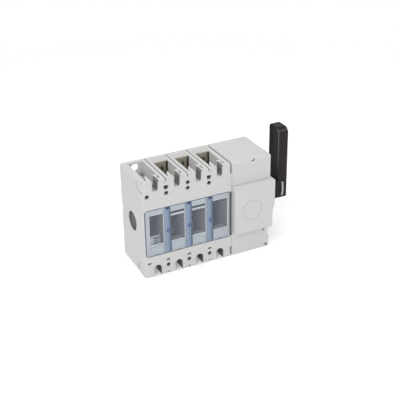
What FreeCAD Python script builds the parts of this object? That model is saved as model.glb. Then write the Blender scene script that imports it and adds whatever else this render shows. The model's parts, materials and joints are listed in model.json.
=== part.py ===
import FreeCAD, Part
import os
from math import asin, atan2, cos, degrees, hypot, radians, sin
from FreeCAD import Vector

# Rotary switch disconnector: three live poles and one blank pole in a four-pole moulded case,
# a spring mechanism in its own housing on the right, and a side lever.
# Millimetres. Origin: centre of the panel hole pattern on the back face, which is also the
# height of the rotor axis. +X to the lever, -Y to the front, +Z to the upper terminals.

# Pole case
pole_pitch = 35.0
pole_count = 4
rear_depth = 61.0
cover_depth = 21.0
left_margin = 20.5
right_margin = 21.0
end_step_width = 3.0
end_step_height = 16.5
side_edge_radius = 5.0
rear_bevel = 2.6
top_bevel_width = 2.0
top_bevel_height = 3.5
back_wall = 10.0
chamber_width = 23.5
chamber_margin = 9.0
terminal_wall = 5.0
terminal_rise = 12.0
terminal_top = 12.5
barrier_slot_width = 1.3
barrier_slot_depth = 4.6
barrier_tab_hole = 0.7

# Rotor and its bearings
rotor_to_seam = 21.5
rotor_radius = 12.0
running_clearance = 0.08
end_cap_radius = 14.8
end_cap_clearance = 0.5
end_cap_recess = 1.4
rotor_travel = 60.0
lever_travel = 90.0

# Panel holes and case screws
panel_hole_pitch_x = 70.0
panel_hole_pitch_z = 130.0
panel_hole_radius = 2.75
access_hole_radius = 3.3
case_screw_rise = 1.0
case_screw_inset = 7.2
case_screw_radius = 2.0
case_screw_head_radius = 3.0
case_screw_head_height = 2.6
case_screw_length = 16.0
case_screw_seat = 16.0
clip_slot_width = 6.2
clip_slot_height = 3.4

# Window cover
window_left_gap = 2.4
window_right_gap = 2.2
window_low = -44.0
window_high = 33.5
window_plate = 2.4
window_corner_radius = 4.0
window_gap = 0.35
pane_half_width = 11.7
last_pane_extra = 2.3
pane_low = -26.0
pane_high = 25.0
sill_drop = 5.0
cover_front_wall = 3.2
window_pocket = 0.9
window_taper = 0.7
band_low = 17.5
band_high = 19.6
side_channel_width = 2.1
side_channel_depth = 9.0
window_screw_offset = 1.8
window_screw_height = -6.5
window_screw_radius = 1.5
window_screw_length = 10.0
window_screw_recess = 1.0
window_screw_head_height = 1.2
window_screw_head_radius = 2.3
window_clip_width = 5.0
window_clip_height = 1.2
window_notch = 4.2
holder_width = 17.5
holder_height = 13.4
holder_rail = 1.6
holder_depth = 2.5
card_thickness = 0.8

# Terminals
upper_slot_radius = 4.5
lower_slot_radius = 6.15
finger_groove = 1.55
finger_groove_depth = 14.0
finger_taper_depth = 8.5
finger_tip = 1.8
slot_flare = 0.8
slot_bevel_width = 3.4
slot_bevel_height = 3.8
wall_slot_offset = 10.3
wall_slot_width = 1.7
wall_slot_depth = 6.0
wall_slot_start = 6.4
wall_slot_end = 16.0
side_groove = 0.8
side_groove_drop = 14.5
side_gap_width = 1.5
side_gap_depth = 2.2
rear_hole_radius = 8.4
rear_hole_rise = 1.5
rear_block_depth = 10.9
rear_block_lip = 3.2
rear_block_relief = 2.5
rear_block_back = 2.0
part_gap = 0.1
terminal_screw_radius = 4.0
nut_width = 13.0
nut_thickness = 6.5
nut_gap = 0.15

# Current path
bar_thickness = 4.0
bar_width = 18.4
bar_end = 35.0
bar_top_gap = 2.0
bar_hole_radius = 4.5
knife_thickness = 4.0
knife_inner_radius = 20.0
blade_angle = 77.5
blade_reach = 32.0
blade_width = 9.0
blade_thickness = 3.2
contact_gap = 0.05
leaf_thickness = 0.8
leaf_length = 22.0
leaf_width = 6.6
blade_pin_radius = 2.0
blade_pin_length = 17.0
chute_plate_angles = [97.0, 106.0, 115.0, 124.0]
chute_inner_radius = 22.0
chute_length = 19.0
chute_web = 6.5
chute_plate = 1.2
chute_half_width = 9.4
chute_slot_half = 6.7
cheek_margin = 5.0

# Mechanism housing
housing_gap = 0.4
housing_width = 66.6
housing_wall = 3.0
housing_back = 4.0
upper_cover_low = 40.6
shelf_gap = 0.2
middle_cover_low = -39.4
middle_cover_proud = 10.0
bulge_width = 3.3
bulge_depth = 16.0
bulge_low = -12.0
bulge_full = 0.0
lower_cover_inset = 1.1
lift_mark_x = 36.0
side_slot_width = 2.2
side_slot_depth = 4.0
side_slot_height = 16.0
edge_radius = 2.6
knockout_radius = 17.0
knockout_x = 30.5
knockout_z = -2.0
knockout_line = 0.6
knockout_depth = 0.3

# Mechanism
frame_plate = 2.0
frame_low = -32.0
frame_high = 37.0
frame_reach = 29.5
frame_window = 12.0
frame_window_drop = 17.5
spacer_inset = 6.0
frame_gap = 0.3
crank_radius = 16.0
crank_thickness = 6.0
crank_pin_radius = 3.0
crank_tip_radius = 7.0
crank_hub_radius = 11.0
crank_pin_angle = -120.0
tenon_width = 13.0
key_clearance = 0.03
spring_anchor_height = 30.0
spring_anchor_radius = 2.5
spring_wire = 1.6
spring_radius = 4.3
spring_loop_inner = 5.0
spring_turns = 9
spring_spacing = 10.0
spring_start = 13.0
stop_radius = 3.0
stop_gap = 0.3
stop_length = 7.6
spacer_radius = 3.0
drive_plate_start = 30.2
drive_plate = 4.0
drive_plate_radius = 23.0
drive_slot_gap = 0.4
shaft_radius = 6.0
shaft_tenon = 9.0
bush_radius = 8.5
bush_flange_radius = 11.0
bush_flange = 1.9
bush_length = 6.0
right_plate_start = 38.2

# Side lever
flange_size = 46.0
flange_thickness = 4.0
flange_corner = 6.0
boss_radius = 14.0
boss_length = 23.3
flange_screw_inset = 7.0
flange_screw_radius = 2.0
flange_screw_head = 3.8
flange_screw_length = 9.0
flange_screw_seat = 2.2
lever_gap = 0.4
lever_hub_step = 2.9
lever_thickness = 18.0
lever_width = 30.0
lever_top = 104.5
lever_bottom = -14.5
lever_hub_top = 12.5
lever_front_round = 10.0
lever_back_round = 5.0
lever_edge = 2.4
lever_relief = 1.6
lever_relief_length = 26.0
shaft_insert = 5.4
lever_pin_radius = 1.5
tongue_slot_start = 6.2
tongue_slot_width = 4.8
tongue_clearance = 0.2
tongue_low = -11.6
tongue_high = 12.4
tongue_depth = 24.0
tongue_hole = 3.2
tongue_hole_inset = 6.5

# Derived places
seam_y = -rear_depth
front_y = seam_y - cover_depth
axis_y = seam_y + rotor_to_seam
chamber_half = chamber_width / 2
chute_outer_radius = chute_inner_radius + chute_length
chute_slot_radius = chute_outer_radius - chute_web
chamber_top = chute_outer_radius + chamber_margin
pocket_floor = chamber_top + terminal_wall
terminal_axis_height = pocket_floor + terminal_rise
half_height = terminal_axis_height + terminal_top
case_screw_height = pocket_floor + case_screw_rise
rear_hole_height = terminal_axis_height + rear_hole_rise
side_groove_low = half_height - side_groove_drop
frame_front = axis_y - frame_reach
pole_centres = [(number - (pole_count - 1) / 2) * pole_pitch for number in range(pole_count)]
live_poles = pole_centres[1:]
gap_centres = [centre + pole_pitch / 2 for centre in pole_centres[:-1]]
case_left = pole_centres[0] - left_margin
case_right = pole_centres[-1] + right_margin
end_step_x = case_right - end_step_width
bearing_radius = rotor_radius + running_clearance
housing_left = case_right + housing_gap
housing_right = housing_left + housing_width
middle_front = front_y - middle_cover_proud
panel_holes = [(side * panel_hole_pitch_x / 2, end * panel_hole_pitch_z / 2)
               for side in (-1, 1) for end in (-1, 1)]
case_screws = [(case_left + case_screw_inset, case_screw_height)]
case_screws += [(x, case_screw_height) for x in gap_centres]
case_screws += [(0.0, panel_hole_pitch_z / 2), (0.0, -panel_hole_pitch_z / 2)]
clip_slots = [(case_left + case_screw_inset, -case_screw_height)]
clip_slots += [(x, -case_screw_height) for x in gap_centres]
terminal_back = -back_wall - rear_block_depth
bar_back = terminal_back - part_gap
bar_front = bar_back - bar_thickness
bar_top = half_height - bar_top_gap
nut_back = bar_back + part_gap + nut_thickness
housing_inner_left = housing_left + housing_wall
left_plate_x = housing_inner_left + frame_gap
crank_x = left_plate_x + frame_plate + 0.7
right_plate_x = housing_left + right_plate_start + frame_gap + 2 * frame_plate
drive_plate_x = housing_left + drive_plate_start + frame_gap + 2 * frame_plate
flange_x = housing_right
boss_end = flange_x + flange_thickness + boss_length
lever_hub_x = boss_end + lever_gap
lever_x = lever_hub_x + lever_hub_step
lever_outer_x = lever_x + lever_thickness
tongue_x = lever_x + tongue_slot_start


def block(x0, x1, y0, y1, z0, z1):
    return Part.makeBox(x1 - x0, y1 - y0, z1 - z0, Vector(x0, y0, z0))


def rod_x(x0, x1, y, z, radius):
    return Part.makeCylinder(radius, x1 - x0, Vector(x0, y, z), Vector(1, 0, 0))


def rod_y(y0, y1, x, z, radius):
    return Part.makeCylinder(radius, y1 - y0, Vector(x, y0, z), Vector(0, 1, 0))


def rod_z(z0, z1, x, y, radius):
    return Part.makeCylinder(radius, z1 - z0, Vector(x, y, z0), Vector(0, 0, 1))


def prism(points, travel):
    outline = Part.makePolygon([Vector(*point) for point in points + points[:1]])
    return Part.Face(outline).extrude(Vector(*travel))


def profile_yz(points, x0, x1):
    return prism([(x0, y, z) for y, z in points], (x1 - x0, 0, 0))


def profile_xz(points, y0, y1):
    return prism([(x, y0, z) for x, z in points], (0, y1 - y0, 0))


def profile_xy(points, z0, z1):
    return prism([(x, y, z0) for x, y in points], (0, 0, z1 - z0))


def turned(shape, angle):
    copy = shape.copy()
    copy.rotate(Vector(0, axis_y, 0), Vector(1, 0, 0), angle)
    return copy


def upside_down(shape):
    return shape.mirror(Vector(0, 0, 0), Vector(0, 0, 1))


def edges_along(shape, axis, test):
    found = []
    for edge in shape.Edges:
        ends = [vertex.Point for vertex in edge.Vertexes]
        if len(ends) == 2 and edge.Curve.TypeId == "Part::GeomLine":
            direction = ends[1] - ends[0]
            if abs(direction.normalize()[axis]) > 0.999 and test(edge.CenterOfMass):
                found.append(edge)
    return found


def polar(radius, angle):
    return axis_y + radius * cos(radians(angle)), radius * sin(radians(angle))


def both_ends(tools):
    return tools + [upside_down(tool) for tool in tools]


def end_steps(y0, y1):
    upper = block(end_step_x, case_right + 1, y0, y1, half_height - end_step_height, half_height + 1)
    return both_ends([upper])


def barrier_slots(y0, y1):
    half_width = barrier_slot_width / 2
    low = half_height - barrier_slot_depth
    slots = [block(x - half_width, x + half_width, y0, y1, low, half_height + 1) for x in gap_centres]
    return both_ends(slots)


def outer_bevels():
    side = [(case_left - 1, half_height + 1), (case_left - 1, half_height - top_bevel_height)]
    side += [(case_left, half_height - top_bevel_height), (case_left + top_bevel_width, half_height)]
    side += [(case_left + top_bevel_width, half_height + 1)]
    rear = [(-rear_bevel, half_height), (-rear_bevel, half_height + 1), (1, half_height + 1)]
    rear += [(1, half_height - rear_bevel), (0, half_height - rear_bevel)]
    side_tool = profile_xz(side, seam_y - 1, 1)
    rear_tool = profile_yz(rear, case_left - 1, case_right + 1)
    return both_ends([side_tool, rear_tool])


def pole_case_cuts(centre):
    left = centre - chamber_half
    right = centre + chamber_half
    pocket = block(left, right, seam_y - 1, -back_wall, pocket_floor, half_height + 1)
    bar_half = bar_width / 2 + 0.4
    bar_slot = block(centre - bar_half, centre + bar_half, bar_front - 0.4, bar_back + 0.4,
                     chamber_top - 1, pocket_floor + 1)
    rear_hole = rod_y(-back_wall - 1, 1, centre, rear_hole_height, rear_hole_radius)
    chamber = block(left, right, seam_y - 1, -back_wall, -chamber_top, chamber_top)
    return both_ends([pocket, bar_slot, rear_hole]) + [chamber]


def rear_case():
    body = block(case_left, case_right, seam_y, 0, -half_height, half_height)
    tools = end_steps(seam_y - 1, 1) + barrier_slots(seam_y - 1, 1) + outer_bevels()
    for centre in pole_centres:
        tools += pole_case_cuts(centre)
    inner_left = pole_centres[0] - chamber_half
    tools.append(rod_x(inner_left, case_right + 1, axis_y, 0, bearing_radius))
    tools.append(block(inner_left, case_right + 1, seam_y - 1, axis_y, -bearing_radius, bearing_radius))
    tools.append(rod_x(case_left - 1, inner_left + 1, axis_y, 0, end_cap_radius + end_cap_clearance))
    for x, z in panel_holes:
        tools.append(rod_y(seam_y - 1, 1, x, z, panel_hole_radius))
    pilot_end = front_y + case_screw_seat + case_screw_length + 1
    for x, z in case_screws:
        tools.append(rod_y(seam_y - 1, pilot_end, x, z, case_screw_radius + key_clearance))
    # Moulded notches in the outer left wall, one beside the seam and one in the rear edge
    notch_top = end_step_height - half_height
    tools.append(block(case_left - 1, case_left + 1.8, seam_y - 1, seam_y + 6.5, -half_height - 1, notch_top))
    tools.append(block(case_left - 1, case_left + 2.6, -3.0, 1, 1.5, 12.5))
    return body.cut(tools)


def finger_plan(centre):
    left = centre - chamber_half
    tab_left = left + finger_groove
    tab_right = centre - upper_slot_radius
    groove = [(left, seam_y + 1), (left, front_y + cover_depth - finger_groove_depth)]
    groove += [(tab_left, front_y + cover_depth - finger_groove_depth), (tab_left, seam_y - finger_taper_depth)]
    groove += [(tab_right - finger_tip, seam_y), (tab_right - finger_tip, seam_y + 1)]
    return groove


def slot_plan(centre):
    left = centre - upper_slot_radius
    right = centre + upper_slot_radius
    return [(left, seam_y + 1), (left, front_y - 1), (right, front_y - 1), (right + slot_flare, seam_y + 1)]


def slot_corner_bevel(centre):
    # Lead-in on the right tab: widest at the front face, fading out at the seam
    corner = centre + upper_slot_radius - 0.1
    rings = []
    for y, share in ((front_y - 0.01, 1.0), (seam_y - 0.5, 0.02)):
        left = corner + slot_flare * (1.0 - share)
        top = half_height + 0.1
        rings.append(Part.makePolygon([Vector(left, y, top - slot_bevel_height * share), Vector(left, y, top),
                                       Vector(left + slot_bevel_width * share, y, top),
                                       Vector(left, y, top - slot_bevel_height * share)]))
    return Part.makeLoft(rings, True)


def access_cuts(centre):
    upper = profile_xy(slot_plan(centre), terminal_axis_height, half_height + 1)
    groove = profile_xy(finger_plan(centre), pocket_floor + 3, half_height + 1)
    upper_round = rod_y(front_y - 1, seam_y + 1, centre, terminal_axis_height, upper_slot_radius)
    lower = block(centre - lower_slot_radius, centre + lower_slot_radius, front_y - 1, seam_y + 1,
                  -half_height - 1, -terminal_axis_height)
    lower_round = rod_y(front_y - 1, seam_y + 1, centre, -terminal_axis_height, lower_slot_radius)
    slot_x = centre + wall_slot_offset
    wall_slot = block(slot_x - wall_slot_width / 2, slot_x + wall_slot_width / 2, front_y + wall_slot_start,
                      front_y + wall_slot_end, half_height - wall_slot_depth, half_height + 1)
    return [upper, groove, upper_round, lower, lower_round, wall_slot, slot_corner_bevel(centre)]


def pane_right(centre):
    extra = last_pane_extra if centre == pole_centres[-1] else 0
    return centre + pane_half_width + extra


def window_tunnel(centre):
    wall = front_y + cover_front_wall
    behind = [(wall, pane_low - sill_drop * 0.2), (seam_y + 1, pane_low - sill_drop)]
    behind += [(seam_y + 1, chamber_top), (wall, chamber_top)]
    tunnel = profile_yz(behind, centre - chamber_half, pane_right(centre))
    opening = block(centre - pane_half_width, pane_right(centre), front_y - 1, wall + 0.01, pane_low, pane_high)
    lower_pocket = block(centre - chamber_half, centre + chamber_half, wall, seam_y + 1,
                         -chamber_top, pane_low - sill_drop - 2.5)
    return [tunnel, opening, lower_pocket]


def rotor_saddle(x0, x1):
    grip = bearing_radius - part_gap
    tongue = block(x0, x1, seam_y - 0.5, axis_y - 6.0, -grip, grip)
    return tongue.cut(rod_x(x0 - 1, x1 + 1, axis_y, 0, bearing_radius))


def d_hole(x, z):
    radius = access_hole_radius + 0.2
    lower = rod_y(front_y - 1, seam_y + 1, x, z, radius)
    upper = block(x - radius, x + radius, front_y - 1, seam_y + 1, z, z + radius)
    return lower.fuse(upper)


def clip_slot(x, z):
    end = clip_slot_height / 2
    reach = clip_slot_width / 2 - end
    depth = front_y + cover_front_wall
    middle = block(x - reach, x + reach, front_y - 1, depth, z - end, z + end)
    return middle.fuse([rod_y(front_y - 1, depth, x + side * reach, z, end) for side in (-1, 1)])


def side_groove_cuts():
    # Gap in the left side at the seam, with a fine groove that curves on to the front edge
    x0 = case_left - 1
    front = front_y - 1
    middle_y = seam_y - cover_depth * 0.42
    upper = [Vector(x0, seam_y, side_groove_low + 2), Vector(x0, middle_y, side_groove_low - 0.6),
             Vector(x0, front, side_groove_low - 1)]
    lower = [point - Vector(0, 0, side_groove) for point in upper]
    outline = Part.Wire([Part.Arc(*upper).toShape(), Part.makeLine(upper[2], lower[2]),
                         Part.Arc(lower[2], lower[1], lower[0]).toShape(), Part.makeLine(lower[0], upper[0])])
    curve = Part.Face(outline).extrude(Vector(1 + 2 * side_groove, 0, 0))
    gap = block(x0, case_left + side_gap_depth, seam_y - side_gap_width, seam_y + 1, side_groove_low + 1,
                half_height + 1)
    return [curve, gap]


def cover_hole_cuts():
    tools = []
    for x, z in panel_holes:
        tools.append(d_hole(x, z) if z > 0 else rod_y(front_y - 1, seam_y + 1, x, z, access_hole_radius))
    seat = front_y + case_screw_seat
    for x, z in case_screws:
        tools.append(rod_y(front_y - 1, seat, x, z, access_hole_radius))
        tools.append(rod_y(seat - 1, seam_y + 1, x, z, case_screw_radius + 0.2))
    tools += [clip_slot(x, z) for x, z in clip_slots]
    for gap, side in ((gap_centres[0], -1), (gap_centres[2], 1)):
        for z in (half_height - 5.0, 3.0 - half_height):
            tools.append(rod_y(front_y - 1, front_y + 2, gap + side * 3.4, z, barrier_tab_hole))
    return tools


def window_outline(clearance, y0, y1):
    x0 = case_left + window_left_gap - clearance
    x1 = case_right - window_right_gap + clearance
    plate = block(x0, x1, y0, y1, window_low - clearance, window_high + clearance)
    return plate.makeFillet(window_corner_radius, edges_along(plate, 1, lambda point: True))


def front_cover():
    body = block(case_left, case_right, front_y, seam_y, -half_height, half_height)
    corner = edges_along(body, 2, lambda point: point.x < case_left + 1 and point.y < front_y + 1)
    body = body.makeFillet(side_edge_radius, corner)
    tools = end_steps(front_y - 1, seam_y + 1) + barrier_slots(front_y - 1, seam_y + 1)
    for centre in pole_centres:
        tools += access_cuts(centre) + window_tunnel(centre)
    tools.append(window_outline(window_gap, front_y - 1, front_y + window_plate))
    channel_left = case_right - side_channel_width
    tools.append(block(channel_left, case_right + 1, front_y - 1, front_y + side_channel_depth,
                       window_low + 1, window_high - 1))
    tools += side_groove_cuts()
    tools += cover_hole_cuts()
    for x in gap_centres:
        screw_x = x + window_screw_offset
        pilot_end = front_y + window_screw_recess + window_screw_length + 1
        pilot_radius = window_screw_radius + key_clearance
        tools.append(rod_y(front_y, pilot_end, screw_x, window_screw_height, pilot_radius))
    body = body.cut(tools)
    saddle_half = (pole_pitch - chamber_width) / 2 - 1.0
    saddles = [rotor_saddle(x - saddle_half, x + saddle_half) for x in gap_centres]
    right_wall = live_poles[-1] + chamber_half
    saddles.append(rotor_saddle(right_wall + 1.0, case_right - 1.0))
    return body.fuse(saddles).removeSplitter()


def tapered_pocket(x0, x1, z0, z1):
    deep = front_y + window_pocket
    outer = [(x0, z0), (x1, z0), (x1, z1), (x0, z1)]
    low_x, high_x = x0 + window_taper, x1 - window_taper
    low_z, high_z = z0 + window_taper, z1 - window_taper
    inner = [(low_x, low_z), (high_x, low_z), (high_x, high_z), (low_x, high_z)]
    wires = [Part.makePolygon([Vector(x, y, z) for x, z in ring + ring[:1]])
             for y, ring in ((front_y - 0.01, outer), (deep, inner))]
    return Part.makeLoft(wires, True)


def window_pockets(number, centre):
    left = centre - pane_half_width + 0.2
    right = pane_right(centre) - 0.2
    banded = number in (1, 2)
    high = band_low if banded else pane_high - 0.3
    pockets = [tapered_pocket(left, right, pane_low + 0.3, high)]
    if banded:
        pockets.append(tapered_pocket(left, right, band_high, pane_high - 0.3))
    pockets.append(tapered_pocket(left, right, window_low + 2.6, pane_low - 2.4))
    return pockets


def window_cover():
    back = front_y + window_plate - 0.05
    plate = window_outline(0, front_y, back)
    front_rim = [edge for edge in plate.Edges if edge.BoundBox.YMax < front_y + 0.01]
    plate = plate.makeChamfer(0.5, front_rim)
    tools = []
    for number, centre in enumerate(pole_centres):
        tools += window_pockets(number, centre)
    for x in gap_centres:
        screw_x = x + window_screw_offset
        tools.append(rod_y(front_y - 1, back + 1, screw_x, window_screw_height, window_screw_radius + 0.15))
        tools.append(rod_y(front_y - 1, front_y + window_screw_recess, screw_x, window_screw_height,
                           window_screw_head_radius + 0.2))
        foot = window_high - window_notch
        notch = [(x - 1.6, window_high + 1), (x - 0.3, window_high + 1), (x + 3.2, foot), (x + 1.9, foot)]
        tools.append(profile_xz(notch, front_y - 1, back + 1))
    half_width = window_clip_width / 2
    for centre in pole_centres:
        for low in (window_low - 1, window_high - window_clip_height):
            tools.append(block(centre - half_width, centre + half_width, front_y - 1, back + 1,
                               low, low + 1 + window_clip_height))
    return plate.cut(tools)


def countersunk_screw(x, z, seat_y, radius, head_radius, head_height, length, slot):
    head = rod_y(seat_y - head_height, seat_y, x, z, head_radius)
    shank = rod_y(seat_y - 0.1, seat_y + length, x, z, radius)
    cross = [block(x - head_radius * 0.6, x + head_radius * 0.6, seat_y - head_height - 0.1,
                   seat_y - head_height * 0.5, z - slot, z + slot)]
    cross.append(block(x - slot, x + slot, seat_y - head_height - 0.1,
                       seat_y - head_height * 0.5, z - head_radius * 0.6, z + head_radius * 0.6))
    return head.fuse(shank).cut(cross)


def window_screws():
    seat = front_y + window_screw_recess
    screws = [countersunk_screw(x + window_screw_offset, window_screw_height, seat, window_screw_radius,
                                window_screw_head_radius, window_screw_head_height, window_screw_length, 0.3)
              for x in gap_centres]
    return Part.makeCompound(screws)


def case_screw_set():
    seat = front_y + case_screw_seat
    screws = [countersunk_screw(x, z, seat, case_screw_radius, case_screw_head_radius,
                                case_screw_head_height, case_screw_length, 0.45) for x, z in case_screws]
    return Part.makeCompound(screws)


def holder_place():
    left = pole_centres[0] - pane_half_width + 0.6
    front = front_y + window_plate + 0.1
    low = pane_low + 0.1
    return left, left + holder_width, front, low, low + holder_height


def label_holder():
    left, right, front, low, high = holder_place()
    groove = card_thickness + 0.2
    frame = block(left, right, front, front + holder_depth, low, high)
    window = block(left - 1, right - 0.8, front - 1, front + holder_depth - 0.9,
                   low + holder_rail, high - holder_rail)
    card_way = block(left - 1, right - 0.8, front + 0.5, front + 0.5 + groove, low + 0.7, high - 0.7)
    return frame.cut([window, card_way])


def label_card():
    left, right, front, low, high = holder_place()
    return block(left + 0.2, right - 0.9, front + 0.6, front + 0.6 + card_thickness, low + 0.8, high - 0.8)


def rear_block(centre):
    body = block(centre - chamber_half + part_gap, centre + chamber_half - part_gap,
                 terminal_back, -back_wall - 0.05, pocket_floor + part_gap, half_height)
    lip = block(centre - chamber_half + part_gap, centre + chamber_half - part_gap,
                terminal_back - rear_block_lip, terminal_back + 0.1, bar_top + part_gap, half_height)
    reliefs = []
    for side in (-1, 1):
        edges = sorted([centre + side * (chamber_half + 1), centre + side * (chamber_half - rear_block_relief)])
        reliefs.append(block(edges[0], edges[1], terminal_back - 1, -back_wall - rear_block_back,
                             pocket_floor - 1, bar_top))
    plug = rod_y(-back_wall - 0.1, -3.0, centre, rear_hole_height, rear_hole_radius - part_gap)
    bore = rod_y(terminal_back - 1, 0, centre, terminal_axis_height, terminal_screw_radius + 0.4)
    nut_half = nut_width / 2 + nut_gap
    nut_seat = block(centre - nut_half, centre + nut_half, terminal_back - 1, nut_back + part_gap,
                     terminal_axis_height - nut_half, terminal_axis_height + nut_half)
    return body.cut(reliefs).fuse([lip, plug]).removeSplitter().cut([bore, nut_seat])


def terminal_nuts():
    half = nut_width / 2
    nuts = []
    for centre in live_poles:
        nut = block(centre - half, centre + half, nut_back - nut_thickness, nut_back,
                    terminal_axis_height - half, terminal_axis_height + half)
        nut = nut.makeChamfer(0.8, edges_along(nut, 1, lambda point: True))
        thread = rod_y(terminal_back - 2, nut_back + 1, centre, terminal_axis_height, terminal_screw_radius)
        nuts.append(nut.cut(thread))
    return Part.makeCompound(both_ends(nuts))


def knife(centre, top):
    inner = [polar(knife_inner_radius, blade_angle - 9), polar(knife_inner_radius, blade_angle + 9)]
    reach = bar_end + 1.0
    outline = [(bar_back, top), (bar_back, inner[0][1]), inner[0], inner[1], (inner[1][0], top)]
    outline = [(min(y, bar_back), z) for y, z in outline]
    outline[0] = (bar_back, reach)
    outline[-1] = (inner[1][0], reach)
    return profile_yz(outline, centre - knife_thickness / 2, centre + knife_thickness / 2)


def bar_hole(centre):
    return rod_y(bar_front - 1, bar_back + 1, centre, terminal_axis_height, bar_hole_radius)


def upper_bar(centre):
    half_width = bar_width / 2
    flat = block(centre - half_width, centre + half_width, bar_front, bar_back, bar_end, bar_top)
    return flat.fuse(knife(centre, bar_end)).removeSplitter().cut(bar_hole(centre))


def lower_bar(centre):
    half_width = bar_width / 2
    bend = chute_outer_radius + 1.2
    contact = turned(knife(centre, bar_end), 180)
    contact_box = contact.BoundBox
    rise = block(centre - half_width, centre + half_width, contact_box.YMin, contact_box.YMin + bar_thickness,
                 -bend - bar_thickness, -bar_end)
    cross = block(centre - half_width, centre + half_width, contact_box.YMin, bar_back,
                  -bend - bar_thickness, -bend)
    flat = block(centre - half_width, centre + half_width, bar_front, bar_back, -bar_top, -bend)
    return flat.fuse([cross, rise, contact]).removeSplitter().cut(upside_down(bar_hole(centre)))


def strip(centre, inner, thickness, length, width):
    outline_x = centre + inner
    reach = (length - width) / 2
    long_part = block(outline_x, outline_x + thickness, axis_y - width / 2, axis_y + width / 2, -reach, reach)
    ends = [rod_x(outline_x, outline_x + thickness, axis_y, side * reach, width / 2) for side in (-1, 1)]
    bore = rod_x(outline_x - 1, outline_x + thickness + 1, axis_y, 0, blade_pin_radius + key_clearance)
    return turned(long_part.fuse(ends).removeSplitter().cut(bore), blade_angle - 90)


def blade_inner():
    return knife_thickness / 2 + contact_gap


def moving_blades(centre):
    inner = blade_inner()
    length = 2 * blade_reach
    right = strip(centre, inner, blade_thickness, length, blade_width)
    left = strip(centre, -inner - blade_thickness, blade_thickness, length, blade_width)
    return Part.makeCompound([left, right])


def leaf_springs():
    outer = blade_inner() + blade_thickness
    leaves = []
    for centre in live_poles:
        leaves.append(strip(centre, outer, leaf_thickness, leaf_length, leaf_width))
        leaves.append(strip(centre, -outer - leaf_thickness, leaf_thickness, leaf_length, leaf_width))
    return Part.makeCompound(leaves)


def blade_pins():
    half_length = blade_pin_length / 2
    pins = [rod_x(centre - half_length, centre + half_length, axis_y, 0, blade_pin_radius)
            for centre in live_poles]
    return Part.makeCompound(pins)


def rotor():
    start = pole_centres[0] - chamber_half + 0.3
    body = rod_x(start, crank_x - 0.1, axis_y, 0, rotor_radius)
    half_tenon = tenon_width / 2
    tenon = block(crank_x - 0.2, crank_x + crank_thickness, axis_y - half_tenon, axis_y + half_tenon,
                  -half_tenon, half_tenon)
    tenon_round = rod_x(crank_x - 1, crank_x + crank_thickness + 1, axis_y, 0, tenon_width * 0.62)
    body = body.fuse(tenon.common(tenon_round))
    slot_half = blade_inner() + blade_thickness + leaf_thickness + 0.15
    width_half = blade_width / 2 + 0.2
    tools = []
    for centre in live_poles:
        slot = block(centre - slot_half, centre + slot_half, axis_y - width_half, axis_y + width_half,
                     -rotor_radius - 2, rotor_radius + 2)
        tools.append(turned(slot, blade_angle - 90))
        pin_half = blade_pin_length / 2 + 0.1
        tools.append(rod_x(centre - pin_half, centre + pin_half, axis_y, 0, blade_pin_radius + key_clearance))
    socket = end_cap_key() + key_clearance
    tools.append(block(start - 1, start + 6.2, axis_y - socket, axis_y + socket, -socket, socket))
    return body.cut(tools)


def end_cap_key():
    return 5.0


def rotor_end_cap():
    outer = case_left + end_cap_recess
    inner = pole_centres[0] - chamber_half + 0.2
    disc = rod_x(outer, inner, axis_y, 0, end_cap_radius)
    key = end_cap_key()
    tenon = block(inner - 0.1, inner + 6.0, axis_y - key, axis_y + key, -key, key)
    ring = rod_x(outer - 1, outer + 1.0, axis_y, 0, end_cap_radius - 1.6)
    ring = ring.cut(rod_x(outer - 1, outer + 2, axis_y, 0, end_cap_radius - 3.0))
    return disc.fuse(tenon).cut(ring)


def chute_plate_solid(centre, angle):
    half = chute_plate / 2
    body = block(centre - chute_half_width, centre + chute_half_width, axis_y - half, axis_y + half,
                 chute_inner_radius, chute_outer_radius)
    slot = block(centre - chute_slot_half, centre + chute_slot_half, axis_y - 2, axis_y + 2,
                 chute_inner_radius - 1, chute_slot_radius)
    return turned(body.cut(slot), angle - 90)


def arc_plates(centre):
    upper = [chute_plate_solid(centre, angle) for angle in chute_plate_angles]
    lower = [turned(plate, 180) for plate in upper]
    return Part.makeCompound(upper + lower)


def cheek(x0, x1):
    first = chute_plate_angles[0] - cheek_margin
    last = chute_plate_angles[-1] + cheek_margin
    steps = [first + (last - first) * share for share in (0, 0.5, 1)]
    outer = [polar(chute_outer_radius + 1.5, angle) for angle in steps]
    inner = [polar(chute_inner_radius - 1.5, angle) for angle in steps]
    points_out = [Vector(x0, y, z) for y, z in outer]
    points_in = [Vector(x0, y, z) for y, z in inner]
    outline = Part.Wire([Part.Arc(*points_out).toShape(), Part.makeLine(points_out[2], points_in[2]),
                         Part.Arc(points_in[2], points_in[1], points_in[0]).toShape(),
                         Part.makeLine(points_in[0], points_out[0])])
    return Part.Face(outline).extrude(Vector(x1 - x0, 0, 0))


def arc_cheeks(centre):
    outer = chamber_half - 0.3
    right = cheek(centre + chute_half_width, centre + outer)
    left = cheek(centre - outer, centre - chute_half_width)
    return Part.makeCompound([left, right, turned(left, 180), turned(right, 180)])


def mechanism_case():
    body = block(housing_left, housing_right, seam_y, 0, -half_height, half_height)
    rear = edges_along(body, 0, lambda point: point.y > -1)
    body = body.makeChamfer(rear_bevel, rear)
    cavity = block(housing_inner_left, housing_right - housing_wall, seam_y - 1, -housing_back,
                   -half_height + housing_wall, half_height - housing_wall)
    rotor_bore = rod_x(housing_left - 1, housing_inner_left + 1, axis_y, 0, bearing_radius + 0.4)
    wall_start = housing_right - housing_wall - 1
    shaft_hole = rod_x(wall_start, housing_right + 1, axis_y, 0, shaft_radius + 0.4)
    pilots = [rod_x(wall_start, housing_right + 1, y, z, flange_screw_radius + key_clearance)
              for y, z in flange_screw_places()]
    return body.cut([cavity, rotor_bore, shaft_hole] + pilots)


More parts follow.
